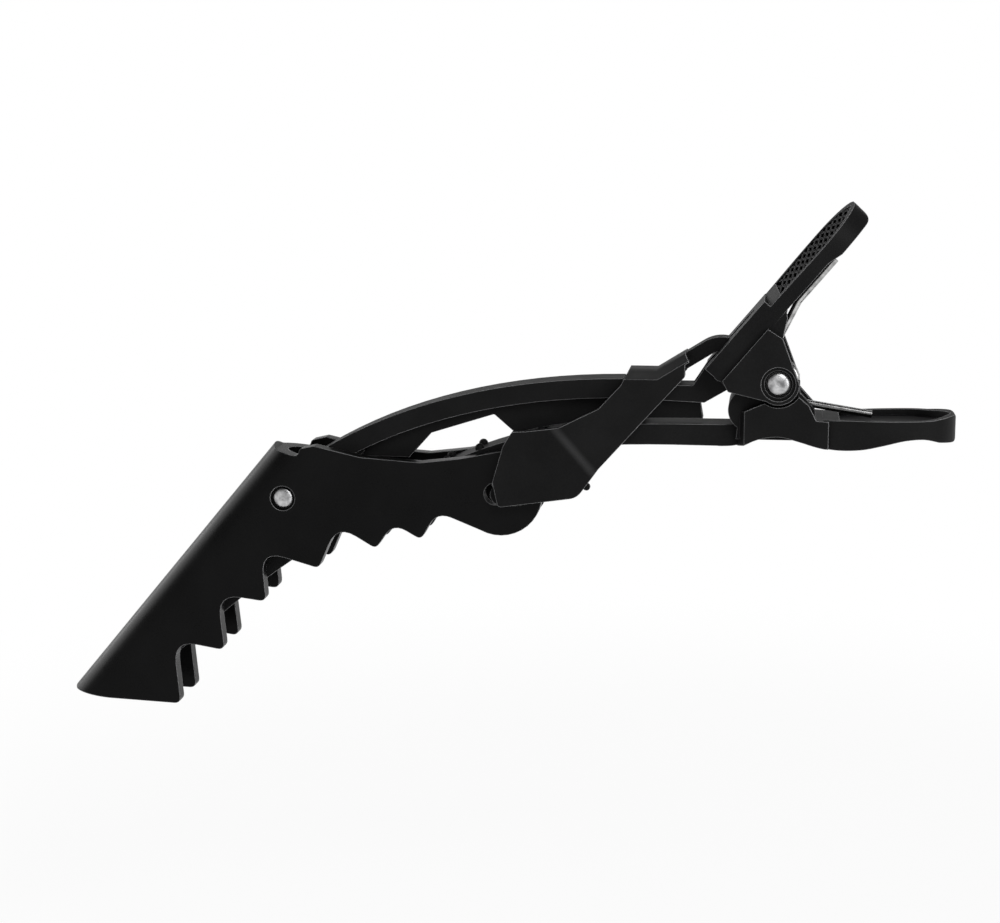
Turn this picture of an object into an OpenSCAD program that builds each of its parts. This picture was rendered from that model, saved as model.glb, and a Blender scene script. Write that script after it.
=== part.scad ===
// Double-hinged sectioning clip for hair: two levers on a sprung main pin, a toothed
// hood rocking on the end of the upper arm, and a flexible strap that pulls it shut.
// Frame: origin on the main pin at mid width, +X towards the thumb pads,
// +Y along the pins, +Z towards the upper thumb pad. Millimetres.

/* [Layout] */
// Distance of the hood pin ahead of the main pin
hood_reach = 61.1; // [55:0.1:68]
// Height of the hood pin below the main pin
hood_drop = 15.5; // [12:0.1:19]
// Slope of the upper thumb lever
handle_angle = 50; // [44:1:56]
// Slope of the hood's spine
spine_angle = 50.3; // [46:0.1:55]
// Running gap between pieces that slide past each other
slide_gap = 0.3; // [0.2:0.05:0.4]
// Radial clearance of a pin in a bore that turns on it
pin_clear = 0.05; // [0.02:0.01:0.1]

/* [Hood] */
// Outer width of the hood
hood_w = 9.2; // [8.6:0.1:10.4]
// Thickness of the hood's walls
hood_wall = 1.8; // [1.4:0.1:2.1]
// Distance from the hood pin to the outside of the spine
spine_cover = 5.5; // [5.1:0.1:6]
// Length of the solid nose along the spine
nose_solid = 4; // [2:0.5:6]
// Radius of the round lobe behind the teeth
lobe_r = 5.2; // [4.6:0.1:5.6]
// Rounding of the tooth tips
tooth_round = 0.8; // [0.4:0.05:0.9]
// Rounding of the gaps between the teeth
gap_round = 2.4; // [1.6:0.1:2.6]

/* [Pins] */
// Diameter of the main pin
main_pin_d = 2.8; // [2.5:0.1:3.2]
// Diameter of the hood pin
hood_pin_d = 2.6; // [2:0.1:2.8]
// Depth that the pin ends sit below the pieces' outer faces
pin_recess = 0.1; // [0.05:0.05:0.4]
// Rounding of the pin ends
pin_dome = 0.3; // [0.1:0.05:0.5]
// Width of the ring groove around a pin end
ring_groove = 0.25; // [0.2:0.05:0.4]
// Depth of that groove
groove_depth = 0.6; // [0.3:0.05:0.8]

/* [Upper lever] */
// Width of the arched arm
arm_w = 4.6; // [3.6:0.1:5]
// Depth of the arm's flange
arm_flange = 2.4; // [1.8:0.1:3]
// Thickness of the web under the flange
web_w = 2; // [1.4:0.1:2.6]
// Radius of the arm's eye around the hood pin
arm_eye_r = 2.5; // [2.2:0.1:2.6]
// Width of the arm's eye between the hood's walls
arm_eye_w = 3.6; // [3:0.1:3.8]
// Thickness of each outer ear
ear_t = 1.55; // [1.2:0.05:1.8]
// Radius of the boss around the main pin
boss_r = 2.5; // [2.4:0.1:2.9]
// Depth of the flat face sunk into the ear around the pin
boss_step = 0.35; // [0.2:0.05:0.5]
// Outer width across the two rails
rail_w = 9.8; // [9:0.1:10.4]
// Depth of the rails
rail_t = 2.2; // [1.8:0.1:2.6]
// Distance of the rails' back from the main pin
rail_stand = 5.6; // [5.2:0.1:6]
// Width of the slot between the rails
slot_w = 3; // [2.6:0.1:3.4]
// Radius of the cross bar that the strap hooks on
bar_r = 0.9; // [0.7:0.05:1.1]

/* [Thumb pads] */
// Greatest width of the thumb pads
pad_w = 11.5; // [10:0.1:13]
// Distance from the main pin to the upper tip
upper_len = 22; // [19:0.1:25]
// Distance from the main pin to the lower tip
lower_len = 21.4; // [18:0.1:24]
// Depth of the textured hollow in a pad
pad_hollow = 0.6; // [0.3:0.1:1]
// Sideways tilt of the upper pad's face
pad_tilt = 5; // [0:0.5:7]
// Width of the rim around a hollow
pad_rim = 0.6; // [0.4:0.1:1]
// Number of grip ribs each way in the upper hollow
rib_count = 12; // [9:1:13]
// Width of a grip rib
rib_w = 0.3; // [0.25:0.05:0.4]

/* [Lower lever] */
// Thickness of each inner ear
inner_ear_t = 1.4; // [1:0.1:1.8]
// Width of the tongue
tongue_w = 4.8; // [3.8:0.1:5]
// Thickness of the tongue at its root
tongue_root = 2.7; // [2.4:0.1:3.2]
// Thickness of the tongue at its tip
tongue_tip = 1.6; // [1.2:0.1:2]
// Width of the lower body
body_w = 10; // [9:0.1:10.6]
// Radius of a grip nub
nub_r = 0.58; // [0.4:0.02:0.8]

/* [Strap] */
// Thickness of the strap's legs
strap_t = 1.2; // [0.9:0.1:1.5]
// Outer width of the strap over the arm
bridge_w = 8.8; // [8:0.1:9.4]
// Thickness of the strap's bridge
bridge_t = 1; // [0.8:0.1:1.2]
// Radius of the lugs that hold the hood
lug_r = 1.2; // [0.8:0.1:1.4]
// Length of the lug's free travel in the hood's slot
lug_play = 2.7; // [2:0.1:3.2]
// Thickness of the hook
hook_t = 1.8; // [1.4:0.1:2]

/* [Spring] */
// Diameter of the spring wire
wire_d = 0.9; // [0.7:0.05:0.95]
// Rise of one turn of the coil
coil_pitch = 1.3; // [1.25:0.05:1.4]
// Number of full turns of the coil
coil_turns = 2; // [1:1:2]

/* [Hidden] */
$fn = 64;
black = [0.1, 0.1, 0.11];
soft_black = [0.14, 0.14, 0.15];
steel = [0.78, 0.79, 0.8];

// Places of the axes, as [x, z]
hood_pin_at = [-hood_reach, -hood_drop];
lug_at = hood_pin_at + [27.4, 1.2];
rail_dir = [cos(handle_angle), sin(handle_angle)];
rail_out = [-sin(handle_angle), cos(handle_angle)];
function on_rail(s, t) = s * rail_dir + t * rail_out;
bar_s = -3.6;
bar_stand = rail_stand + 0.4;
bar_at = on_rail(bar_s, bar_stand);

// Longer than the whole clip, for cuts that run right through
through = 2 * hood_reach;

// Half widths, from the middle outwards
hood_half = hood_w / 2;
channel_half = hood_half - hood_wall;
strap_in = hood_half + slide_gap;
strap_out = strap_in + strap_t;
ear_out = rail_w / 2 + 0.6;
ear_in = ear_out - ear_t;
inner_ear_out = ear_in - slide_gap;
inner_ear_in = inner_ear_out - inner_ear_t;
pad_half = pad_w / 2;
main_pin_half = ear_out - pin_recess;
hood_pin_half = hood_half - pin_recess;

// Radii around the main pin
wire_r = wire_d / 2;
rings_per_turn = 8;
coil_clear = 0.12;
coil_r = (main_pin_d / 2 + coil_clear + wire_r) / cos(180 / rings_per_turn);
coil_room = coil_r + wire_r + slide_gap;
inner_ear_r = main_pin_d / 2 + 0.85;
body_clear_r = boss_r + slide_gap + 0.1;
spot_r = main_pin_d / 2 + ring_groove + 0.4;

// Outlines are lists of [x, z], some points with a third value, the corner's radius

// Points of an arc about c
function arc(c, r, a0, a1, n = 12) =
    [for (i = [0 : n]) c + r * [cos(a0 + (a1 - a0) * i / n), sin(a0 + (a1 - a0) * i / n)]];

// Point and direction of a cubic curve at t
function bez(p, t) = (1 - t) ^ 3 * p[0] + 3 * (1 - t) ^ 2 * t * p[1]
    + 3 * (1 - t) * t ^ 2 * p[2] + t ^ 3 * p[3];
function bez_dir(p, t) = (1 - t) ^ 2 * (p[1] - p[0]) + 2 * (1 - t) * t * (p[2] - p[1])
    + t ^ 2 * (p[3] - p[2]);

// Direction of length one, and that direction a quarter turn to the left
function unit(v) = v / norm(v);
function left(v) = [-unit(v)[1], unit(v)[0]];

// Points along a cubic curve, moved sideways from d0 at its start to d1 at its end
function curve(p, d0 = 0, d1 = 0, n = 16) =
    [for (i = [0 : n]) bez(p, i / n) + (d0 + (d1 - d0) * i / n) * left(bez_dir(p, i / n))];

// Points of a smooth curve through every point of p
function smooth(p, n = 4) = let (m = len(p) - 1)
    [for (i = [0 : m - 1])
        let (b = p[i], c = p[i + 1], lead = (c - p[max(i - 1, 0)]) / 6, trail = (p[min(i + 2, m)] - b) / 6)
        each [for (k = [0 : n - 1]) bez([b, b + lead, c - trail, c], k / n)],
    p[m]];

function flip(p) = [for (i = [len(p) - 1 : -1 : 0]) p[i]];
function moved(p, d) = [for (q = p) len(q) > 2 ? [q[0] + d[0], q[1] + d[1], q[2]] : q + d];

// One corner b between a and c, rounded by radius r
function corner(a, b, c, r, n = 6) =
    let (u = unit(a - b), v = unit(c - b), half = acos(u * v) / 2,
        cut = min(r / tan(half), norm(a - b) * 0.48, norm(c - b) * 0.48),
        p = b + cut * u, q = b + cut * v)
    [for (i = [0 : n]) let (t = i / n) (1 - t) ^ 2 * p + 2 * (1 - t) * t * b + t ^ 2 * q];

// A closed outline whose points may carry a corner radius
function rounded(p) = let (m = len(p))
    [for (i = [0 : m - 1])
        let (b = p[i], flat = [b[0], b[1]], before = p[(i + m - 1) % m], after = p[(i + 1) % m])
        each (len(b) > 2
            ? corner([before[0], before[1]], flat, [after[0], after[1]], b[2])
            : [flat])];

// Solid with the side outline p, from y0 to y1
module side(p, y0, y1) {
    translate([0, y1, 0])
        rotate([90, 0, 0])
            linear_extrude(y1 - y0)
                polygon(p);
}

// The same solid on both sides of the middle
module both_sides(p, y0, y1) {
    side(p, y0, y1);
    side(p, -y1, -y0);
}

// Cylinder along Y about the axis at c
module round_y(c, r, y0, y1) {
    translate([c[0], y1, c[1]])
        rotate([90, 0, 0])
            cylinder(r = r, h = y1 - y0);
}

// Moves a child drawn along X and Z so that X runs up a slope
module sloped(c, angle) {
    translate([c[0], 0, c[1]])
        rotate([0, -angle, 0])
            children();
}

// Pin with rounded ends
module pin(c, r, half) {
    translate([c[0], 0, c[1]])
        rotate([90, 0, 0])
            rotate_extrude()
                polygon(concat([[0, -half]], arc([r - pin_dome, pin_dome - half], pin_dome, -90, 0, 5),
                    arc([r - pin_dome, half - pin_dome], pin_dome, 0, 90, 5), [[0, half]]));
}

// Toothed hood

// Each tooth as [tip, corner of the gap behind it], from the hood pin
teeth = [
    [[-13.7, -27], [-14.5, -18.7]],
    [[-7.8, -19.8], [-8.6, -12.5]],
    [[-2.3, -13.3], [-2.9, -6.7]],
    [[4.5, -8.8], [6.9, -3.2]],
    [[11.8, -6.1], [14, -2.8]],
    [[17.5, -4.8], [19.5, -1.2]]
];
tooth_line = [for (t = teeth) each [concat(t[0], tooth_round), concat(t[1], gap_round)]];
lobe_at = lug_at - hood_pin_at;
lobe_line = arc(lobe_at, lobe_r, -118, 20, 14);
nose_line = [[-31, -25], [-28.2, -26.2, 0.6], [-23.2, -26.6]];
hood_top = [[31.4, 6.3, 1.5], [27.3, 6.5], [22.4, 5.5], [17.4, 4.9], [9.9, 5.4], [4.1, 6.7, 0.5],
    [2.3, 6.3, 0.4], [1.9, 5.3, 0.8], [-1.4, 5.9, 0.4], [-2.1, 6.8], [-4.8, 9]];
hood_line = moved(rounded(concat(nose_line, tooth_line, lobe_line, hood_top)), hood_pin_at);

// Section of the hood across its spine, closed and round at the top
module arch_section(half, top, depth) {
    translate([top - half, 0])
        circle(half);
    translate([top - half - depth, -half])
        square([depth, 2 * half]);
}

// Long body with that section, along the spine from s0 to s1
module arch_body(half, top, s0, s1) {
    sloped(hood_pin_at, spine_angle)
        translate([s0, 0, 0])
            rotate([0, 90, 0])
                rotate([0, 0, 180])
                    linear_extrude(s1 - s0)
                        arch_section(half, top, through);
}

module toothed_hood() {
    nose_s = -38.6;
    bore_r = hood_pin_d / 2;
    color(black)
        difference() {
            intersection() {
                side(hood_line, -hood_half, hood_half);
                arch_body(hood_half, spine_cover, -through, through);
            }
            arch_body(channel_half, spine_cover - hood_wall, nose_s + nose_solid, through);
            round_y(hood_pin_at, bore_r, -hood_half - 1, hood_half + 1);
            for (y = [-hood_half, hood_half])
                round_y(hood_pin_at, bore_r + ring_groove, y - groove_depth, y + groove_depth);
            lug_slot();
        }
}

// Slot through both walls where the strap's lugs sit
module lug_slot() {
    r = lug_r + 0.2;
    deep = hood_half + 1;
    front = lug_at - [0.6, 0];
    back = front + [lug_play, 0];
    round_y(front, r, -deep, deep);
    round_y(back, r, -deep, deep);
    translate([front[0], -deep, front[1] - r])
        cube([lug_play, 2 * deep, 2 * r]);
}

// Torsion spring

// The wire runs up the lower leg, round the coil, and bends to lie along the upper lever
lower_leg_angle = -9;
lower_leg_len = 11.8;
upper_wire_t = rail_stand - 1.25;
upper_knee = on_rail(8.6, upper_wire_t);
upper_tip = on_rail(upper_len - 6.6, upper_wire_t);
coil_start = lower_leg_angle - 90 + 360;
coil_end = atan2(upper_knee[1], upper_knee[0]) + acos(coil_r / norm(upper_knee));
coil_sweep = coil_start - coil_end + 360 * coil_turns;
coil_half = coil_pitch * coil_sweep / 720;
coil_rings = ceil(coil_sweep * rings_per_turn / 360);
ring_sides = 6;

function on_coil(f) = let (a = coil_start - coil_sweep * f)
    [coil_r * cos(a), coil_half * (2 * f - 1), coil_r * sin(a)];
function along(angle) = [cos(angle), 0, sin(angle)];
lower_leg_end = on_coil(0) + lower_leg_len * along(lower_leg_angle);
function at_end(p) = [p[0], coil_half, p[1]];
wire_path = concat([lower_leg_end, lower_leg_end - wire_d * along(lower_leg_angle)],
    [for (i = [0 : coil_rings]) on_coil(i / coil_rings)],
    [at_end(upper_knee), at_end(upper_tip - wire_d * rail_dir), at_end(upper_tip)]);

// Corners of the wire's ring about path point i
function heading(i) = unit(wire_path[min(i + 1, len(wire_path) - 1)] - wire_path[max(i - 1, 0)]);
function ring(i) = let (h = heading(i), side = [0, 1, 0] - h[1] * h, u = unit(side), v = cross(h, u))
    [for (k = [0 : ring_sides - 1]) wire_path[i]
        + wire_r * (cos(360 * k / ring_sides) * u + sin(360 * k / ring_sides) * v)];

// Least gap between points of the path that lie half a turn or more apart
half_turn = rings_per_turn / 2;
wire_gap = min([for (i = [0 : len(wire_path) - 1]) for (j = [i + half_turn + 1 : 1 : len(wire_path) - 1])
    norm(wire_path[i] - wire_path[j])]) - wire_d;
echo("spring gap to itself", wire_gap);

module torsion_spring() {
    last = len(wire_path) - 1;
    points = [for (i = [0 : last]) each ring(i)];
    walls = [for (i = [0 : last - 1]) for (k = [0 : ring_sides - 1])
        let (a = i * ring_sides + k, b = i * ring_sides + (k + 1) % ring_sides)
        each [[a, b, a + ring_sides], [b, b + ring_sides, a + ring_sides]]];
    near_cap = [for (k = [1 : ring_sides - 2]) [0, k + 1, k]];
    far_cap = [for (k = [1 : ring_sides - 2]) let (f = last * ring_sides) [f, f + k, f + k + 1]];
    color(steel)
        polyhedron(points, concat(walls, near_cap, far_cap));
}

// Room for the lower leg in the lower lever
leg_below = (wire_r + 0.1) * [sin(lower_leg_angle), -cos(lower_leg_angle)];
leg_room = [[on_coil(0)[0], on_coil(0)[2]] + leg_below,
    [lower_leg_end[0] + wire_r, lower_leg_end[2]] + leg_below, [lower_leg_end[0] + wire_r, 0], [0, 0]];

// Lower lever

// Underside of the body and thumb pad, a shallow wave that carries on from the tongue
wave = smooth([[-7, -8.1], [-4.8, -7.9], [-2.3, -6.8], [0.2, -6.45], [2.4, -6.95], [5, -7.7], [7.4, -8],
    [10, -7.8], [12.5, -7.2], [15.2, -6.5], [17.4, -6.35], [19.2, -6.8]]);
wave_start = wave[0][0];

// Top of the tongue as two curves that meet under the arm, from the body to the tip
tongue_mid = [-41.2, -11.1];
tongue_top_rear = [[-4, -5.4], [-22, -5.4], [-29, -5.6], tongue_mid];
tongue_top_front = [tongue_mid, tongue_mid - [9.5, 4.2], hood_pin_at + [1, -3.9], hood_pin_at + [-16, -20]];
tongue_mid_t = (tongue_root + tongue_tip) / 2;
tongue_under_rear = flip(curve(tongue_top_rear, tongue_root, tongue_mid_t));
tongue_line = concat(curve(tongue_top_rear), curve(tongue_top_front),
    flip(curve(tongue_top_front, tongue_mid_t, tongue_tip)),
    [for (p = tongue_under_rear) if (p[0] < wave_start) p],
    [for (p = wave) if (p[0] < tongue_top_rear[0][0]) p]);

// Curve parameters of the pairs of nubs along the rear tongue
nub_steps = [0.985, 0.868, 0.627];
nub_y = tongue_w / 2 - nub_r;

lower_tip = [lower_len, -7.1];
pad_top_z = -4.4;
body_end = 6.1;
body_front = -5;
lower_pad_line = rounded(concat([[5.4, pad_top_z], [5.4, -7.7]], [for (p = wave) if (p[0] > body_end) p],
    [concat(lower_tip, 0.5)],
    [[lower_len, pad_top_z + 0.7, 0.6], [lower_len - 3, pad_top_z + 0.3]]));
body_line = concat(arc([0, 0], body_clear_r, 236, 328, 14),
    [[3.7, -2.6], [4.6, pad_top_z], [body_end, pad_top_z - 0.1], [body_end, -7.85]],
    flip([for (p = wave) if (p[0] < body_end && p[0] > body_front) p]), [[-4.8, -6], [-4.4, -3.6]]);

// Plan of the body, tapered at its front to the tongue
body_half_plan = [[body_front, tongue_w / 2], [body_front + 1, body_w / 2], [body_end, body_w / 2]];
body_plan = concat(body_half_plan, [for (p = flip(body_half_plan)) [p[0], -p[1]]]);

// Plan of a thumb pad from its root at s0 to its tip at s1
function pad_plan(s0, s1, root_half, half) = concat(pad_edge(s0, s1, -root_half, -half),
    flip(pad_edge(s0, s1, root_half, half)));
function pad_edge(s0, s1, root_y, y) = concat(
    curve([[s0, root_y], [s0 + 4, root_y], [s1 - 12, y], [s1 - 6, y]]),
    curve([[s1 - 6, y], [s1 - 3, y], [s1, 0.62 * y], [s1, 0]]));

// Leaf-shaped hollow of a thumb pad, square at its root and pointed at its tip
function leaf_plan(s0, s1, root_half, half) = concat(leaf_edge(s0, s1, -root_half, -half),
    flip(leaf_edge(s0, s1, root_half, half)));
function leaf_edge(s0, s1, root_y, y) = concat(
    curve([[s0, root_y], [s0 + 2.5, root_y], [s1 - 9, y], [s1 - 5.4, y]]),
    curve([[s1 - 5.4, y], [s1 - 3, y], [s1 - 0.8, 0.55 * y], [s1, 0]]));

module lower_lever() {
    bore_r = main_pin_d / 2 + pin_clear;
    barrel_at = [-3.4, -3.4];
    barrel_r = 2.6;
    lower_root = body_w / 2 - 0.6;
    inner_line = [[-4.6, -3.2], [-3.4, 4], [2.6, 4], [2.6, -1.2], [4.4, -3.2], [4.4, -7], [-5, -7]];
    color(black) {
        difference() {
            union() {
                side(tongue_line, -tongue_w / 2, tongue_w / 2);
                intersection() {
                    side(body_line, -body_w / 2, body_w / 2);
                    translate([0, 0, -10])
                        linear_extrude(10)
                            polygon(body_plan);
                }
                intersection() {
                    union() {
                        side(inner_line, -inner_ear_out, inner_ear_out);
                        round_y(barrel_at, barrel_r, -inner_ear_out, inner_ear_out);
                    }
                    union() {
                        round_y([0, 0], inner_ear_r, -inner_ear_out, inner_ear_out);
                        translate([-10, -10, -9])
                            cube([20, 20, 9.2]);
                    }
                }
                intersection() {
                    side(lower_pad_line, -pad_half, pad_half);
                    translate([0, 0, -10])
                        linear_extrude(10)
                            polygon(pad_plan(5.4, lower_len, lower_root, pad_half));
                }
            }
            round_y([0, 0], bore_r, -inner_ear_out - 1, inner_ear_out + 1);
            round_y([0, 0], coil_room, -inner_ear_in, inner_ear_in);
            both_sides(arc([0, 0], body_clear_r, 0, 360, 48), inner_ear_out, body_w);
            side(leg_room, -inner_ear_in, inner_ear_in);
            translate([0, 0, pad_top_z - pad_hollow])
                linear_extrude(4)
                    polygon(leaf_plan(7.4, lower_len - pad_rim, lower_root - pad_rim, pad_half - pad_rim));
        }
        for (t = nub_steps, y = [-nub_y, nub_y])
            nub(bez(tongue_top_rear, t), y);
    }
}

// Round grip nub standing on the tongue
module nub(at, y) {
    translate([at[0], y, at[1] + nub_r / 4])
        sphere(nub_r, $fn = 24);
}

// Upper lever

// Top of the arm, from the hood pin to the saddle under the strap
saddle_at = [-18.8, 0];
saddle_drop = 0.3;
tail_drop = 0.7;
arm_top = [hood_pin_at + [4.6, 5.9], hood_pin_at + [14.6, 12], saddle_at - [14.8, 0.1], saddle_at];
arm_tail = [[-8.9, -2.8], [-6.2, -1.2], bar_at + [0.5, 0], bar_at + [-0.7, -0.5],
    saddle_at + [10.1, -tail_drop], saddle_at + [5.4, -tail_drop], saddle_at + [4.4, -saddle_drop],
    saddle_at - [0, saddle_drop]];
arm_line = concat(curve(arm_top, -arm_flange, -arm_flange), arm_tail, flip(curve(arm_top)));

// Neck from the eye up into the arm
neck_foot = [[-1.6, 1.7], [1.8, -1.6]];
neck_end = 0.12;
neck_top = bez(arm_top, neck_end) + 0.4 * unit([1, -1]);
neck_under = neck_top + arm_flange * unit([1, -1.4]);
neck_line = concat(moved(neck_foot, hood_pin_at), [neck_under, neck_top]);

// Web below the flange, which stays clear of the tongue
web_clear = 0.5;
web_rear = 0.1;
web_line = concat(
    [for (i = [0 : 12]) bez(tongue_top_rear, web_rear + (1 - web_rear) * i / 12) + [0, web_clear]],
    [hood_pin_at + [13, 5], hood_pin_at + [8, 5]], curve(arm_top, -1, -1), [[-9.6, -2]]);
web_window = rounded([[-46.4, -11.4], [-42.8, -7.4, 0.3], [-34.9, -4.9, 0.3], [-32, -7.4], [-36, -11.4]]);

// Ear beside the main pin, from the heel of the rails to the boss: a root as wide as the rails
// and a raised plate that stops short of them
function ear_line(back, top) = rounded(concat([concat(on_rail(-4.1, back), 0.2), [-6, -1, 0.3]],
    arc([0, 0], boss_r, 236, 360, 18), [[0.4, 5.5, 0.5]], top));
root_back = rail_stand + rail_t / 3;
plate_back = rail_stand - rail_t / 8;
// The root rises as a gusset to the pad's underside
root_line = ear_line(root_back, [concat(on_rail(6.7, rail_stand - 1.2), 0.3), on_rail(8.2, root_back)]);
plate_line = ear_line(plate_back, [on_rail(4.2, plate_back)]);

// Rails and thumb pad, drawn along the slope
pad_step = 1;
rail_s0 = -4.4;
rail_s1 = 6.4;
leaf_s0 = rail_s1 + 1.8;
slot_top = 4.6;
rail_front = rail_stand + rail_t;

// Gussets from the arm up to the heel of the rails, beside the hook
gusset_line = [saddle_at + [8.3, -1], on_rail(rail_s0, rail_front), on_rail(rail_s0, rail_stand),
    bar_at - [0, 2]];

// Side of the thumb pad, thicker past the step near its tip
pad_under = rail_stand - 0.5;
step_s = upper_len - 5.4;
upper_pad_line = rounded([[5, rail_front], [5, pad_under], [step_s - 1.8, pad_under],
    [step_s, rail_stand - pad_step, 0.5], [upper_len - 0.2, rail_stand - pad_step, 0.9],
    [upper_len, rail_front - 0.1, 0.5], [upper_len - 3, rail_front]]);

module upper_lever() {
    color(black) {
        difference() {
            union() {
                side(arm_line, -arm_w / 2, arm_w / 2);
                side(neck_line, -arm_eye_w / 2, arm_eye_w / 2);
                difference() {
                    side(web_line, -web_w / 2, web_w / 2);
                    side(web_window, -web_w, web_w);
                }
                round_y(hood_pin_at, arm_eye_r, -arm_eye_w / 2, arm_eye_w / 2);
                both_sides(root_line, ear_in, rail_w / 2);
                both_sides(plate_line, ear_in, ear_out);
                sloped([0, 0], handle_angle)
                    thumb_lever();
                round_y(bar_at, bar_r, -rail_w / 2, rail_w / 2);
                both_sides(gusset_line, slot_w / 2, arm_w / 2);
            }
            round_y(hood_pin_at, hood_pin_d / 2 + pin_clear, -arm_w, arm_w);
            round_y([0, 0], main_pin_d / 2, -ear_out - 1, ear_out + 1);
            for (y = [-ear_out, ear_out]) {
                round_y([0, 0], main_pin_d / 2 + ring_groove, y - groove_depth, y + groove_depth);
                round_y([0, 0], spot_r, y - boss_step, y + boss_step);
            }
        }
    }
}

// Rails with their slot, and the thumb pad with its ribbed hollow
module thumb_lever() {
    leaf = leaf_plan(leaf_s0, upper_len - pad_rim, rail_w / 2 - pad_rim, pad_half - pad_rim);
    difference() {
        union() {
            translate([rail_s0, -rail_w / 2, rail_stand])
                cube([rail_s1 - rail_s0, rail_w, rail_t]);
            intersection() {
                side(upper_pad_line, -pad_half, pad_half);
                linear_extrude(20)
                    polygon(pad_plan(5, upper_len, rail_w / 2, pad_half));
            }
        }
        translate([bar_s - 4, -slot_w / 2, 0])
            cube([slot_top - slot_w / 2 - bar_s + 4, slot_w, 20]);
        translate([slot_top - slot_w / 2, 0, 0])
            cylinder(d = slot_w, h = 20);
        pad_face() {
            translate([rail_s1, -pad_w, 0])
                cube([upper_len, 2 * pad_w, rail_t]);
            translate([0, 0, -pad_hollow])
                linear_extrude(rail_t)
                    polygon(leaf);
        }
    }
    pad_face()
        grip_ribs(leaf);
}

// Moves a child so that its XY plane lies on the pad's face, which turns about the far edge
module pad_face() {
    translate([0, pad_half, rail_front])
        rotate([pad_tilt, 0, 0])
            translate([0, -pad_half, 0])
                children();
}

// Two sets of oblique ribs that cross in the hollow, just below its rim
module grip_ribs(leaf) {
    step = (upper_len - pad_rim - leaf_s0) / rib_count;
    sink = 0.1;
    rib_turn = 14;
    intersection() {
        translate([0, 0, -pad_hollow - sink])
            linear_extrude(pad_hollow)
                polygon(leaf);
        for (i = [0 : rib_count - 1], turn = [-rib_turn, rib_turn])
            translate([leaf_s0 + (i + 0.5) * step, 0, -rail_t])
                rotate([0, 0, turn])
                    translate([-rib_w / 2, -pad_half, 0])
                        cube([rib_w, 2 * pad_half, rail_t]);
    }
}

// Spring strap

// Side of a leg: round the lug, up the straight edge to the ramp, and back over the bridge
bridge_top = saddle_at[1] - saddle_drop + slide_gap + bridge_t;
bridge_front = -18.2;
bridge_half = bridge_w / 2;
ramp_slope = 32;
hook_in = 2.3;
hook_out = hook_in + hook_t;
hook_start = 90 + ramp_slope;
ramp_end = bar_at + hook_out * [cos(hook_start), sin(hook_start)];
ramp_dir = [cos(ramp_slope), sin(ramp_slope)];
ramp_down = [ramp_dir[1], -ramp_dir[0]];
ramp_foot = [ramp_end[0] - (ramp_end[1] - bridge_top) / tan(ramp_slope), bridge_top];
ramp_head = ramp_foot + 0.62 * (ramp_end - ramp_foot);
leg_front = [[9.6, 0, 2.2], [-0.1, -1.4, 0.5], [-0.8, 1.7, 0.6], [0.5, 6.2], [1.6, 8, 0.5], [3.4, 8.1]];
leg_back = concat(bar_at + [-4.3, -0.5], 0.4);
leg_line = rounded(concat(moved(leg_front, lug_at), [[-26.4, -5.7], [-21.6, -3.4], [-19, -0.6]],
    [[bridge_front, bridge_top, 0.3], ramp_foot, ramp_head, leg_back, [-21.5, -10.7]]));

// Plan of the near leg along the strap, flared outwards in front of the crease
crease_angle = 41.4;
crease_q = -24;
flare_end_q = -14;
flare = [[-through, strap_out], [crease_q, strap_out], [flare_end_q, bridge_half], [0, bridge_half]];
flare_in = [for (p = flare) p - [0, strap_t]];
flare_line = concat(flare, flip(flare_in));

// Bridge over the arm and ramp up to the hook
bridge_line = [[bridge_front, bridge_top], ramp_foot, ramp_head, ramp_head + bridge_t * ramp_down,
    [ramp_foot[0] + 0.4, bridge_top - bridge_t], [bridge_front, bridge_top - bridge_t]];

// Hook that runs on from the ramp and over the cross bar
hook_root = ramp_head - bridge_t * ramp_dir;
hook_half = slot_w / 2 - slide_gap;
hook_tip_top = 40;
hook_tip_end = -5;
hook_arch = concat([hook_root], arc(bar_at, hook_out, hook_start, 0, 18),
    arc(bar_at, hook_in, 0, hook_start, 18), [hook_root + hook_t * ramp_down]);
hook_tip = concat(arc(bar_at, hook_out, hook_tip_top, hook_tip_end, 8),
    arc(bar_at, bar_r + pin_clear, hook_tip_end - 7, hook_tip_top + 15, 10));

// Slope along both edges of the bridge and ramp, lower at the edge by this much over this width
crown = 0.8;
crown_w = 1.6;
crown_cut = [[bridge_half - 2 * crown_w, crown], [bridge_half + crown_w, crown],
    [bridge_half + crown_w, -2 * crown]];

// Stub of the moulding gate on the edge of the near leg
gate_at = lug_at + [10.75, 1.35];
gate_r = 0.45;

module spring_strap() {
    color(soft_black) {
        difference() {
            union() {
                strap_legs();
                side(bridge_line, -bridge_half, bridge_half);
            }
            edge_wedges();
        }
        round_y(gate_at, gate_r, gate_r - strap_out, -strap_in - strap_t / 4);
        side(hook_arch, -hook_half, hook_half);
        side(hook_tip, -hook_half, hook_half);
        round_y(lug_at, lug_r, channel_half + slide_gap, strap_in + 0.2);
        round_y(lug_at, lug_r, -strap_in - 0.2, -channel_half - slide_gap);
    }
}

// Both legs, flared in plan
module strap_legs() {
    intersection() {
        side(leg_line, -strap_out, strap_out);
        rotate([0, -crease_angle, 0])
            for (turn = [0, 1])
                mirror([0, turn, 0])
                    translate([0, 0, -through / 2])
                        linear_extrude(through)
                            polygon(flare_line);
    }
}

// Wedges that slope the edges of the bridge and of the ramp, each up to the mitre at the ramp's foot
module edge_wedges() {
    for (turn = [0, 1])
        mirror([0, turn, 0])
            for (uphill = [0, 1])
                intersection() {
                    sloped(ramp_foot, uphill * ramp_slope)
                        edge_wedge();
                    sloped(ramp_foot, ramp_slope / 2)
                        translate([(uphill - 1) * through, 0, -through / 2])
                            cube(through);
                }
}

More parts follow.
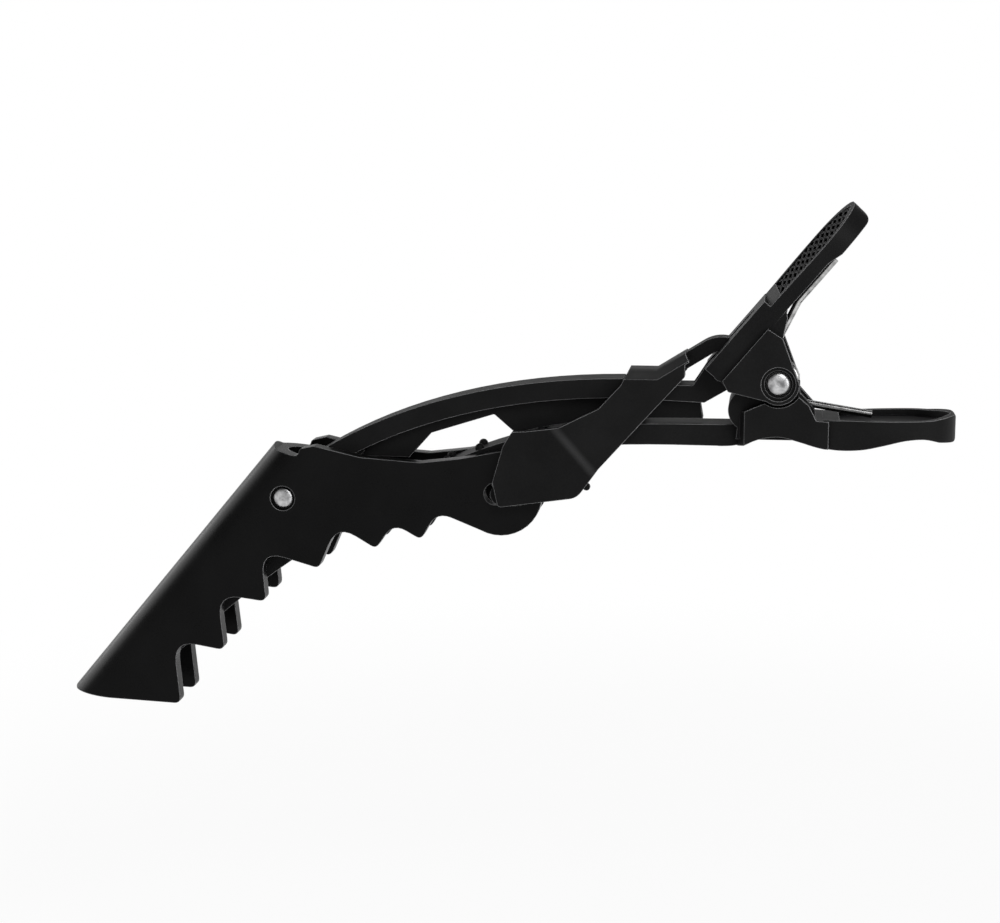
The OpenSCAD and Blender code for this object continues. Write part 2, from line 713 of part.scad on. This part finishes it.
module edge_wedge() {
    translate([-through, 0, 0])
        rotate([90, 0, 90])
            linear_extrude(2 * through)
                polygon(crown_cut);
}

// Pins

module main_pin() {
    color(steel)
        pin([0, 0], main_pin_d / 2, main_pin_half);
}

module hood_pin() {
    color(steel)
        pin(hood_pin_at, hood_pin_d / 2, hood_pin_half);
}

upper_lever();
lower_lever();
toothed_hood();
spring_strap();
main_pin();
hood_pin();
torsion_spring();
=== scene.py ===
import math

import bmesh
import bpy
from mathutils import Matrix, Vector


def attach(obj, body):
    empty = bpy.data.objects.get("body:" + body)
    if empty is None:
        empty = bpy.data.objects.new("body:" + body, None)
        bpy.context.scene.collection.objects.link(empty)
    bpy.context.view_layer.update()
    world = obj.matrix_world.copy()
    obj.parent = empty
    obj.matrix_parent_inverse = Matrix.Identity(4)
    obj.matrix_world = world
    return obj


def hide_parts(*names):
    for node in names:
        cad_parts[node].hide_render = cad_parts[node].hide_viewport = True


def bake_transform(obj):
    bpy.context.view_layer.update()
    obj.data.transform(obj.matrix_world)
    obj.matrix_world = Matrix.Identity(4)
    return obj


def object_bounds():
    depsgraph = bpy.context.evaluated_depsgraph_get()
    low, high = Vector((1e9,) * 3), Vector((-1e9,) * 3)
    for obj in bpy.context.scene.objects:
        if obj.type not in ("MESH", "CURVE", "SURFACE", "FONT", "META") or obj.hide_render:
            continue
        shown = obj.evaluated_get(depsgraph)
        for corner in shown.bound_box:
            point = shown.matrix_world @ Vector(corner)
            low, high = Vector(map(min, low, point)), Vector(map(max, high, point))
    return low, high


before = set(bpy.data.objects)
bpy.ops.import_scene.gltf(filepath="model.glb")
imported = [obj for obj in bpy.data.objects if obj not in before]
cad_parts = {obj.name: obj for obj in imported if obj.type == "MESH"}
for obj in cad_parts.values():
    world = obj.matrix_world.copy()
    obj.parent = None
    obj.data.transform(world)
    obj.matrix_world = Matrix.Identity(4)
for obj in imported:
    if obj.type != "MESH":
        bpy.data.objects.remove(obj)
cad_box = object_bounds()


# Upper lever. One stiff black moulding: thumb pad, two slotted rails, ears, cross bar and arched
# arm. It is satin acetal-like plastic from a fine spark-eroded mould, with slightly eased edges
# and a duller ribbed hollow where the thumb grips.
mm = 0.001


class Finish:
    """A value in a finish's node tree: sums add Math nodes, and node() adds any other node."""

    def __init__(self, tree, socket=None):
        self.tree = tree
        self.socket = socket

    def node(self, kind, settings=None, inputs=None, out=0):
        made = self.tree.nodes.new(kind)
        for name, value in (settings or {}).items():
            setattr(made, name, value)
        for name, value in (inputs or {}).items():
            if isinstance(value, Finish):
                self.tree.links.new(value.socket, made.inputs[name])
            else:
                made.inputs[name].default_value = value
        return Finish(self.tree, made.outputs[out] if len(made.outputs) else None)

    def maths(self, operation, *values):
        return self.node("ShaderNodeMath", {"operation": operation}, dict(enumerate(values)))

    def __add__(self, other):
        return self.maths("ADD", self, other)

    def __sub__(self, other):
        return self.maths("SUBTRACT", self, other)

    def __rsub__(self, other):
        return self.maths("SUBTRACT", other, self)

    def __mul__(self, other):
        return self.maths("MULTIPLY", self, other)

    __radd__ = __add__
    __rmul__ = __mul__


def new_finish(name):
    made = bpy.data.materials.new(name)
    made.use_nodes = True
    made.node_tree.nodes.clear()
    return made, Finish(made.node_tree)


def shaded(start, surface):
    start.node("ShaderNodeOutputMaterial", inputs={"Surface": surface})


def place_on(start):
    return start.node("ShaderNodeTexCoord", out="Object")


def noise(start, scale, detail, stretch=(1, 1, 1)):
    drawn = start.node("ShaderNodeMapping", inputs={"Vector": place_on(start), "Scale": stretch})
    return start.node("ShaderNodeTexNoise", inputs={
        "Vector": drawn, "Scale": scale, "Detail": detail})


def measured(start, operation, *values):
    return start.node("ShaderNodeVectorMath", {"operation": operation},
                      dict(enumerate(values)), out="Value")


def between(start, mask, low, high):
    # The colour sockets of a Mix node share their names with others, so they go by number.
    low, high = (shade if isinstance(shade, Finish) else (*shade, 1) for shade in (low, high))
    return start.node("ShaderNodeMix", {"data_type": "RGBA"},
                      {"Factor": mask, 6: low, 7: high}, out=2)


def ranged(start, value, low, high, to_low=0.0, to_high=1.0):
    return start.node("ShaderNodeMapRange", {"interpolation_type": "SMOOTHSTEP"}, {
        "Value": value, "From Min": low, "From Max": high, "To Min": to_low, "To Max": to_high})


def moulded_finish(name, dark, pale, edge_highlight, gloss, shine, bend=None):
    edge_radius = 0.22 * mm
    shelter_reach = 1.0 * mm
    grain_depth = 0.008 * mm
    made, start = new_finish(name)
    cloud = noise(start, scale=160, detail=3)
    grain = noise(start, scale=5200, detail=2)
    flow = noise(start, scale=420, detail=4, stretch=(0.25, 1, 1))
    eased = start.node("ShaderNodeBevel", {"samples": 8}, {"Radius": edge_radius})
    facing = start.node("ShaderNodeNewGeometry", out="Normal")
    shelter = start.node("ShaderNodeAmbientOcclusion", {"samples": 6, "only_local": True},
                         {"Distance": shelter_reach}, out="AO")
    # Convex edges are painted towards a light colour: a painted highlight of edges catching the
    # light.
    edge = ranged(start, 1 - measured(start, "DOT_PRODUCT", eased, facing), 0.02, 0.22)
    edge_highlight_mask = edge * ranged(start, shelter, 0.72, 0.95) * (0.3 + flow * 0.7)
    # A bend paints a pale band along a crease line: a painted highlight where the crease catches
    # light.
    if bend:
        across, line, reach = bend
        along = measured(start, "DOT_PRODUCT", place_on(start), across)
        crease_highlight = ranged(start, start.maths("ABSOLUTE", along - line), 0.0, reach, 0.06, 0.0)
        edge_highlight_mask = start.maths("MAXIMUM", edge_highlight_mask, crease_highlight * (0.5 + cloud))
    # The mottle is scaled down by ambient occlusion, so recesses are painted darker: painted shade.
    mottle_and_shade = (cloud * 0.6 + grain * 0.4) * ranged(start, shelter, 0.2, 0.9)
    colour = between(start, edge_highlight_mask, between(start, mottle_and_shade, dark, pale), edge_highlight)
    rough = gloss + (cloud - 0.5) * 0.16 + (flow - 0.5) * 0.12 + (grain - 0.5) * 0.1
    relief = start.node("ShaderNodeBump", inputs={
        "Strength": 0.5, "Distance": grain_depth, "Normal": eased,
        "Height": grain * 0.8 + flow * 0.5})
    shaded(start, start.node("ShaderNodeBsdfPrincipled", inputs={
        "Base Color": colour, "Roughness": rough, "Normal": relief,
        "Specular IOR Level": shine}))
    return made


def put_in(name, data):
    made = bpy.data.objects.new(name, data)
    bpy.context.scene.collection.objects.link(made)
    return made


def moulding(node, name, cuts=()):
    weld_gap = 0.02 * mm
    flat_angle = math.radians(0.6)
    smooth_angle = math.radians(32)
    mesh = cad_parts[node].data.copy()
    mesh.materials.clear()
    form = bmesh.new()
    form.from_mesh(mesh)
    bmesh.ops.remove_doubles(form, verts=form.verts, dist=weld_gap)
    bmesh.ops.dissolve_limit(form, angle_limit=flat_angle, verts=form.verts, edges=form.edges)
    for place, across in cuts:
        bmesh.ops.bisect_plane(form, geom=form.verts[:] + form.edges[:] + form.faces[:],
                               plane_co=place, plane_no=across)
    form.normal_update()
    for line in form.edges:
        line.smooth = line.is_manifold and line.calc_face_angle() < smooth_angle
    form.to_mesh(mesh)
    form.free()
    mesh.polygons.foreach_set("use_smooth", [True] * len(mesh.polygons))
    return put_in(name, mesh)


satin_black = moulded_finish("satin_black_plastic", dark=(0.0015, 0.0015, 0.0015),
                             pale=(0.018, 0.018, 0.0183), edge_highlight=(0.4, 0.4, 0.408),
                             gloss=0.48, shine=0.05)
dull_black = moulded_finish("dull_black_grip", dark=(0.001, 0.001, 0.001),
                            pale=(0.012, 0.012, 0.0122), edge_highlight=(0.2, 0.2, 0.204),
                            gloss=0.62, shine=0.02)
upper = moulding("upper_lever", "thumb_lever_and_arm")
upper.data.materials.append(satin_black)
upper.data.materials.append(dull_black)
rail_angle = math.radians(50)
pad_tilt = math.radians(5)
pad_stand = 7.8
pad_half = 5.75
pad_far_edge = Vector((-pad_stand * math.sin(rail_angle), pad_half,
                       pad_stand * math.cos(rail_angle))) * mm
pad_facing = Vector((-math.sin(rail_angle) * math.cos(pad_tilt), -math.sin(pad_tilt),
                     math.cos(rail_angle) * math.cos(pad_tilt)))
hollow_from = 0.05 * mm
hollow_to = 0.65 * mm
nearly_parallel = 0.99
for face in upper.data.polygons:
    depth = (pad_far_edge - face.center).dot(pad_facing)
    if face.normal.dot(pad_facing) > nearly_parallel and hollow_from < depth < hollow_to:
        face.material_index = 1
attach(upper, "upper")
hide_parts("upper_lever")


# Lower lever. The second stiff moulding of the same satin plastic, with the lower thumb pad, the
# inner ears that turn on the main pin and the long tongue with its round grip nubs.
lower = moulding("lower_lever", "lower_lever_and_tongue")
lower.data.materials.append(satin_black)
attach(lower, "lower")
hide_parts("lower_lever")


# Toothed hood. An open-bottomed arch of the same plastic, moulded in one with its teeth and nose.
# Its mould is more polished, so it is glossier, and its colour is a darker copy of the same
# plastic, painted shade for the dimmer light on the hood. It rocks on the hood pin at the end of
# the arm.
shaded_black = moulded_finish("deep_black_plastic", dark=(0.001, 0.001, 0.001),
                            pale=(0.0095, 0.0095, 0.0097), edge_highlight=(0.4, 0.4, 0.408),
                            gloss=0.3, shine=0.055)
hood = moulding("toothed_hood", "toothed_hood_shell")
hood.data.materials.append(shaded_black)
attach(hood, "hood")
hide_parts("toothed_hood")


# Spring strap. A flexible strap of softer, slightly duller elastomer, hooked over the cross bar
# and held in the hood by two lugs. Its legs bend as the hood rocks on the real clip; here they are
# only cut across. A pale band along the bend in each leg is a painted highlight of the crease.
crease_angle = math.radians(41.4)
crease_line = -24 * mm
crease_reach = 0.8 * mm
crease = (math.cos(crease_angle), 0, math.sin(crease_angle)), crease_line, crease_reach
soft_black = moulded_finish("soft_black_elastomer", dark=(0.002, 0.002, 0.002),
                            pale=(0.017, 0.017, 0.0173), edge_highlight=(0.4, 0.4, 0.408),
                            gloss=0.48, shine=0.045, bend=crease)
leg_from = Vector((-18.5, 0, -1)) * mm
leg_to = Vector((-32, 0, -12.5)) * mm
leg_parts = 12
leg_cuts = [(leg_from.lerp(leg_to, part / leg_parts), leg_to - leg_from)
            for part in range(1, leg_parts)]
strap = moulding("spring_strap", "flexible_strap", leg_cuts)
strap.data.materials.append(soft_black)
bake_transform(strap)
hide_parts("spring_strap")


# Main pin. A turned steel pin pressed through the outer ears, with slightly domed ends that keep
# the small centre mark of the lathe.
def turned_steel(name, middle):
    ring_rate = 60000
    ring_depth = 0.004 * mm
    made, start = new_finish(name)
    about = start.node("ShaderNodeMapping", inputs={
        "Vector": place_on(start), "Location": -middle})
    flat = start.node("ShaderNodeVectorMath", {"operation": "MULTIPLY"}, {0: about, 1: (1, 0, 1)})
    rings = start.maths("SINE", measured(start, "LENGTH", flat) * ring_rate)
    smear = noise(start, scale=900, detail=3)
    colour = between(start, ranged(start, smear, 0.3, 0.7),
                     (0.18, 0.18, 0.183), (0.64, 0.64, 0.645))
    relief = start.node("ShaderNodeBump", inputs={
        "Strength": 0.4, "Distance": ring_depth, "Height": rings})
    shaded(start, start.node("ShaderNodeBsdfPrincipled", inputs={
        "Base Color": colour, "Metallic": 1.0, "Roughness": 0.4 + (smear - 0.5) * 0.3,
        "Normal": relief}))
    return made


def smooth_mesh(form, name):
    mesh = bpy.data.meshes.new(name)
    form.to_mesh(mesh)
    form.free()
    mesh.shade_smooth()
    return mesh


def turned_pin(name, middle, radius, half):
    turned_sides = 56
    weld_gap = 0.002 * mm
    centre_mark = [(0, 0.05), (0.2, 0.04), (0.34, 0), (0.45, 0)]
    dome = [(0.7, 0.06), (0.86, 0.14), (0.96, 0.26), (1, 0.45)]
    outline = [(out, half - drop) for out, drop in centre_mark]
    outline += [(share * radius, half - drop) for share, drop in dome]
    outline += [(radius, 0)] + [(out, -end) for out, end in reversed(outline)]
    form = bmesh.new()
    corners = [form.verts.new(Vector((out, end, 0)) * mm) for out, end in outline]
    edges = [form.edges.new(pair) for pair in zip(corners, corners[1:])]
    bmesh.ops.spin(form, geom=corners + edges, axis=(0, 1, 0), angle=math.tau,
                   steps=turned_sides, use_merge=True)
    bmesh.ops.remove_doubles(form, verts=form.verts, dist=weld_gap)
    bmesh.ops.recalc_face_normals(form, faces=form.faces)
    bmesh.ops.translate(form, verts=form.verts, vec=middle)
    piece = put_in(name, smooth_mesh(form, name))
    piece.data.materials.append(turned_steel(name + "_steel", middle))
    return piece


main_pin = turned_pin("main_hinge_pin", Vector((0, 0, 0)), radius=1.4, half=5.4)
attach(main_pin, "upper")
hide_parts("main_pin")


# Hood pin. The same kind of turned steel pin, thinner and shorter. It is pressed into the hood's
# walls, and the eye at the end of the arm turns on it.
hood_pin = turned_pin("hood_rock_pin", Vector((-61.1, 0, -15.5)) * mm, radius=1.3, half=4.5)
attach(hood_pin, "hood")
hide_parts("hood_pin")


# Torsion spring. Bright drawn steel wire, wound over two turns round the main pin, with one
# straight leg on the lower pad and one leg bent to lie along the upper lever. The wire is painted
# darker towards the bottom, as painted shade on the lower leg where it lies low by the pad.
wire_r = 0.45
wire_sides = 20
coil_r = 2.1323
coil_half = 1.4931
coil_start = math.radians(261)
coil_end = math.radians(154.049)
coil_sweep = coil_start - coil_end + 2 * math.tau
coil_steps = 96
leg_len = 11.8
leg_angle = math.radians(-9)
knee = Vector((2.1957, coil_half, 9.3841))
tip = Vector((6.5666, coil_half, 14.5932))
bend_r = 1.5
bend_steps = 6


def heading(angle):
    return Vector((math.cos(angle), 0, math.sin(angle)))


leg = leg_len * heading(leg_angle)
foot = coil_r * heading(coil_start) + Vector((0, -coil_half, 0)) + leg
across_leg = heading(leg_angle).to_track_quat("Z", "Y").to_matrix().to_4x4()
wire_form = bmesh.new()
round_wire = bmesh.ops.create_circle(wire_form, segments=wire_sides, radius=wire_r,
                                     matrix=Matrix.Translation(foot) @ across_leg)["verts"]
ring = list({edge for corner in round_wire for edge in corner.link_edges})


def draw_wire(ring, move):
    drawn = bmesh.ops.extrude_edge_only(wire_form, edges=ring)["geom"]
    corners = [part for part in drawn if isinstance(part, bmesh.types.BMVert)]
    bmesh.ops.translate(wire_form, verts=corners, vec=move)
    return [part for part in drawn if isinstance(part, bmesh.types.BMEdge)
            and all(corner in drawn for corner in part.verts)]


def wind_wire(ring, middle, angle, steps, rise=0):
    corners = list({corner for edge in ring for corner in edge.verts})
    wound = bmesh.ops.spin(wire_form, geom=corners + ring, cent=middle, axis=(0, 1, 0),
                           angle=angle, steps=steps, dvec=(0, rise / steps, 0))["geom_last"]
    return [part for part in wound if isinstance(part, bmesh.types.BMEdge)]


ring = draw_wire(ring, -leg)
ring = wind_wire(ring, (0, 0, 0), coil_sweep, coil_steps, rise=2 * coil_half)
coil_last = coil_r * heading(coil_end) + Vector((0, coil_half, 0))
rising = (knee - coil_last).normalized()
bend = math.atan2(rising.z, rising.x) - rail_angle
bend_reach = bend_r * math.tan(bend / 2)
bend_from = knee - rising * bend_reach
bend_to = knee + heading(rail_angle) * bend_reach
ring = draw_wire(ring, bend_from - coil_last)
ring = wind_wire(ring, bend_from + bend_r * Vector((rising.z, 0, -rising.x)), bend, bend_steps)
ring = draw_wire(ring, tip - bend_to)
bmesh.ops.holes_fill(wire_form, edges=wire_form.edges, sides=wire_sides)
bmesh.ops.recalc_face_normals(wire_form, faces=wire_form.faces)
bmesh.ops.scale(wire_form, verts=wire_form.verts, vec=(mm, mm, mm))
spring = put_in("wound_torsion_spring", smooth_mesh(wire_form, "wound_torsion_spring"))
cut_end = spring.modifiers.new("cut ends", "BEVEL")
cut_end.limit_method = "ANGLE"
cut_end.angle_limit = math.radians(60)
cut_end.width = 0.06 * mm
cut_end.segments = 2
cut_end.harden_normals = True

drawn_wire, start = new_finish("bright_drawn_wire")
streak_depth = 0.003 * mm
# The wire is painted darker towards the bottom: painted shade on the lower leg by the pad.
painted_shade_line = -2.2 * mm
streak = noise(start, scale=1500, detail=3)
height = start.node("ShaderNodeSeparateXYZ", inputs={"Vector": place_on(start)}, out="Z")
painted_shade_factor = ranged(start, height, painted_shade_line, 0.0, 0.2, 1.0)
tint = between(start, ranged(start, streak, 0.3, 0.7, 0.4, 1.0) * painted_shade_factor,
               (0.1, 0.1, 0.1), (0.58, 0.58, 0.574))
fine = start.node("ShaderNodeBump", inputs={
    "Strength": 0.15, "Distance": streak_depth, "Height": streak})
shaded(start, start.node("ShaderNodeBsdfPrincipled", inputs={
    "Base Color": tint, "Metallic": 1.0, "Roughness": 0.24 + (streak - 0.5) * 0.2,
    "Normal": fine}))
spring.data.materials.append(drawn_wire)
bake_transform(spring)
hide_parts("torsion_spring")


# Studio. A plain white floor and an even white surround, with four soft lamps. The floor shows
# white to the camera and keeps a faint shadow of the clip. It lies low enough for the tongue to
# swing fully open above it.
def white_to_eye(start, surface, white, share=1.0):
    eye = start.node("ShaderNodeLightPath", out="Is Camera Ray")
    shine = start.node("ShaderNodeLightPath", out="Is Glossy Ray")
    through = start.node("ShaderNodeLightPath", out="Is Transmission Ray")
    seen = start.maths("MINIMUM", eye + shine + through, 1.0)
    return start.node("ShaderNodeMixShader", inputs={0: seen * share, 1: surface, 2: white})


swing_room = 38 * mm
floor_level = cad_box[0][2] - swing_room
floor_form = bmesh.new()
bmesh.ops.create_grid(floor_form, x_segments=1, y_segments=1, size=3,
                      matrix=Matrix.Translation((0, 0, floor_level)))
floor = put_in("studio_floor", smooth_mesh(floor_form, "studio_floor"))
floor_paint, start = new_finish("white_studio_floor")
card = start.node("ShaderNodeBsdfDiffuse", inputs={
    "Color": between(start, noise(start, scale=40, detail=3), (0.8, 0.8, 0.8), (0.82, 0.82, 0.82))})
glow = start.node("ShaderNodeEmission", inputs={"Color": (1, 1, 1, 1), "Strength": 1.0})
shadow_middle = (-0.03, 0.05, floor_level)
away = measured(start, "DISTANCE", place_on(start), shadow_middle)
shaded(start, white_to_eye(start, card, glow, ranged(start, away, 0.06, 0.18, 0.86, 1.0)))
floor.data.materials.append(floor_paint)

world = bpy.data.worlds.new("white_surround")
bpy.context.scene.world = world
world.use_nodes = True
world.node_tree.nodes.clear()
start = Finish(world.node_tree)
fill = start.node("ShaderNodeBackground", inputs={"Color": (1, 1, 1, 1), "Strength": 0.33})
around = start.node("ShaderNodeTexCoord", out="Generated")
rise = start.node("ShaderNodeSeparateXYZ", inputs={"Vector": around}, out="Z")
eye = start.node("ShaderNodeLightPath", out="Is Camera Ray")
level = start.maths("MAXIMUM", eye, ranged(start, rise, 0.1, 0.45, 1.0, 0.1))
white = start.node("ShaderNodeBackground", inputs={"Color": (1, 1, 1, 1), "Strength": level})
start.node("ShaderNodeOutputWorld", inputs={"Surface": white_to_eye(start, fill, white)})


def soft_lamp(name, place, aim, size, power):
    lamp = bpy.data.lights.new(name, "AREA")
    lamp.shape = "RECTANGLE"
    lamp.size, lamp.size_y = size
    lamp.energy = power
    stand = put_in(name, lamp)
    stand.location = place
    stand.rotation_euler = (Vector(aim) - Vector(place)).to_track_quat("-Z", "Y").to_euler()


clip_middle = (-0.03, 0, -0.01)
soft_lamp("key_lamp", place=(0.12, -0.22, 0.2), aim=(-0.02, 0, -0.01),
          size=(0.15, 0.15), power=0.5)
soft_lamp("side_lamp", place=(0.42, -0.34, 0.06), aim=clip_middle, size=(0.12, 0.2), power=0.6)
soft_lamp("back_lamp", place=(-0.1, 0.35, 0.5), aim=clip_middle, size=(0.5, 0.2), power=1.2)
soft_lamp("rim_lamp", place=(-0.5, 0.2, 0.15), aim=(-0.07, 0, -0.03),
          size=(0.4, 0.3), power=1.2)

bpy.context.scene.view_settings.view_transform = "Standard"
lens = bpy.data.cameras.new("studio_camera")
lens.lens = 77.4
lens.sensor_width = 36
lens.sensor_fit = "HORIZONTAL"
lens.clip_start = 0.01
looking_down = 9.8551
turned_left = 7.3117
camera = put_in("studio_camera", lens)
camera.location = Vector((-0.5953, -262.6829, 34.985)) * mm
camera.rotation_euler = (math.radians(90 - looking_down), 0, math.radians(turned_left))
bpy.context.scene.camera = camera
